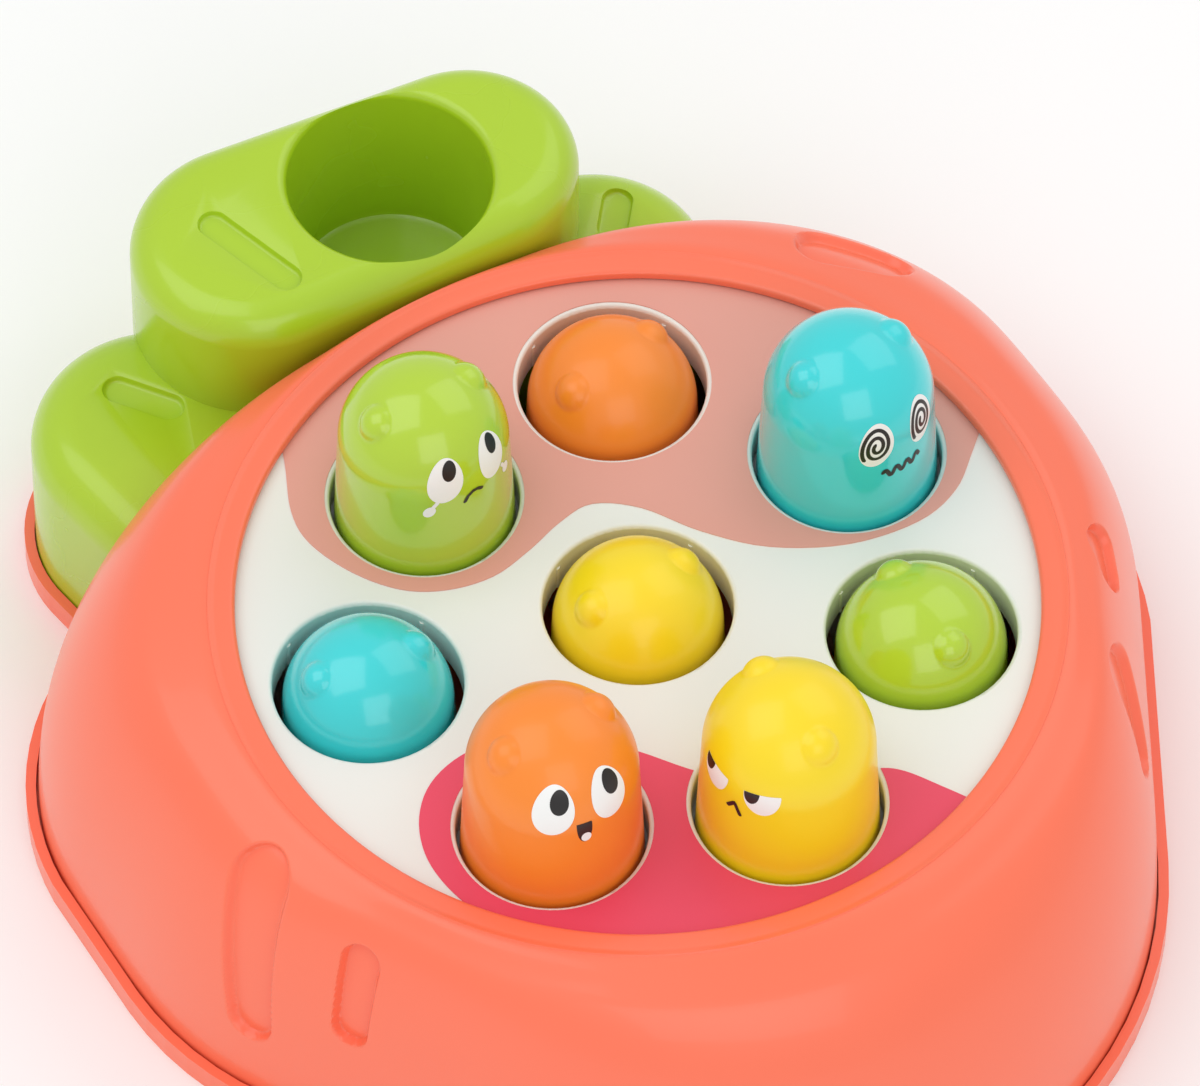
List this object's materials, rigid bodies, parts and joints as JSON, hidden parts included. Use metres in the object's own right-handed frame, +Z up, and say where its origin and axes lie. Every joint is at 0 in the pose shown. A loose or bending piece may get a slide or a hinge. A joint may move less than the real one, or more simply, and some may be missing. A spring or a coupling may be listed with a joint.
{
  "type": "whack-a-mole toy",
  "caption": "Carrot-shaped table-top whack-a-mole toy: moles in a round panel are linked in pairs by rockers, so pressing one raises its partner; a leaf holds a hammer cup.",
  "frame": {"origin": "on the ground under the middle mole, on the flat underside of the tray", "axes": "+Z up, +Y from the carrot's tip toward the leaves, +X to the right with the tip toward the player"},
  "size_m": [0.265, 0.3015, 0.117],
  "materials": {
    "coral": "satin",
    "leaf": "gloss",
    "panel": "gloss",
    "pink_print": "satin",
    "crimson_print": "satin",
    "mole_green": "gloss",
    "mole_orange": "satin",
    "mole_cyan": "gloss",
    "mole_yellow": "satin",
    "inner_plastic": "matte",
    "steel": "plain"
  },
  "bodies": {
    "case": {"base_tray": "coral", "body_shell": "coral", "leaf_cover": "leaf", "face_panel": "panel", "pink_film": "pink_print", "crimson_film": "crimson_print", "pin_front": "steel", "pin_right": "steel", "pin_back": "steel", "pin_left": "steel", "case_screws": "steel"},
    "mole_yellow_front": {"cap_yellow_front": "mole_yellow", "plunger_yellow_front": "inner_plastic"},
    "mole_yellow_centre": {"cap_yellow_centre": "mole_yellow", "plunger_yellow_centre": "inner_plastic"},
    "rocker_front": {"rocker_front": "inner_plastic"},
    "mole_cyan_right": {"cap_cyan_right": "mole_cyan", "plunger_cyan_right": "inner_plastic"},
    "mole_green_right": {"cap_green_right": "mole_green", "plunger_green_right": "inner_plastic"},
    "rocker_right": {"rocker_right": "inner_plastic"},
    "mole_green_back": {"cap_green_back": "mole_green", "plunger_green_back": "inner_plastic"},
    "mole_orange_back": {"cap_orange_back": "mole_orange", "plunger_orange_back": "inner_plastic"},
    "rocker_back": {"rocker_back": "inner_plastic"},
    "mole_orange_left": {"cap_orange_left": "mole_orange", "plunger_orange_left": "inner_plastic"},
    "mole_cyan_left": {"cap_cyan_left": "mole_cyan", "plunger_cyan_left": "inner_plastic"},
    "rocker_left": {"rocker_left": "inner_plastic"}
  },
  "joints": [
    {"name": "press_yellow_front", "type": "slide", "parent": "case", "child": "mole_yellow_front", "axis": [0, 0, 1], "range_m": [-0.03, 0]},
    {"name": "rise_yellow_centre", "type": "slide", "parent": "case", "child": "mole_yellow_centre", "axis": [0, 0, 1], "range_m": [0, 0.03]},
    {"name": "tilt_front", "type": "hinge", "parent": "case", "child": "rocker_front", "pos_m": [0, -0.03215, 0.026], "axis": [1, 0, 0], "range_deg": [0, 51.02]},
    {"name": "press_cyan_right", "type": "slide", "parent": "case", "child": "mole_cyan_right", "axis": [0, 0, 1], "range_m": [-0.03, 0]},
    {"name": "rise_green_right", "type": "slide", "parent": "case", "child": "mole_green_right", "axis": [0, 0, 1], "range_m": [0, 0.03]},
    {"name": "tilt_right", "type": "hinge", "parent": "case", "child": "rocker_right", "pos_m": [0.0574, -0.01445, 0.026], "axis": [-0.9733, 0.2295, 0], "range_deg": [0, 60.88]},
    {"name": "press_green_back", "type": "slide", "parent": "case", "child": "mole_green_back", "axis": [0, 0, 1], "range_m": [-0.03, 0]},
    {"name": "rise_orange_back", "type": "slide", "parent": "case", "child": "mole_orange_back", "axis": [0, 0, 1], "range_m": [0, 0.03]},
    {"name": "tilt_back", "type": "hinge", "parent": "case", "child": "rocker_back", "pos_m": [0.00115, 0.05405, 0.026], "axis": [0.0909, -0.9959, 0], "range_deg": [0, 59.34]},
    {"name": "press_orange_left", "type": "slide", "parent": "case", "child": "mole_orange_left", "axis": [0, 0, 1], "range_m": [-0.03, 0]},
    {"name": "rise_cyan_left", "type": "slide", "parent": "case", "child": "mole_cyan_left", "axis": [0, 0, 1], "range_m": [0, 0.03]},
    {"name": "tilt_left", "type": "hinge", "parent": "case", "child": "rocker_left", "pos_m": [-0.05615, -0.01395, 0.026], "axis": [0.966, 0.2584, 0], "range_deg": [0, 56.08]}
  ],
  "couplings": [
    {"joint": "rise_yellow_centre", "follows": "press_yellow_front", "ratio": -1},
    {"joint": "tilt_front", "follows": "press_yellow_front", "rad_per_m": -29.685},
    {"joint": "rise_green_right", "follows": "press_cyan_right", "ratio": -1},
    {"joint": "tilt_right", "follows": "press_cyan_right", "rad_per_m": -35.416},
    {"joint": "rise_orange_back", "follows": "press_green_back", "ratio": -1},
    {"joint": "tilt_back", "follows": "press_green_back", "rad_per_m": -34.524},
    {"joint": "rise_cyan_left", "follows": "press_orange_left", "ratio": -1},
    {"joint": "tilt_left", "follows": "press_orange_left", "rad_per_m": -32.623}
  ]
}
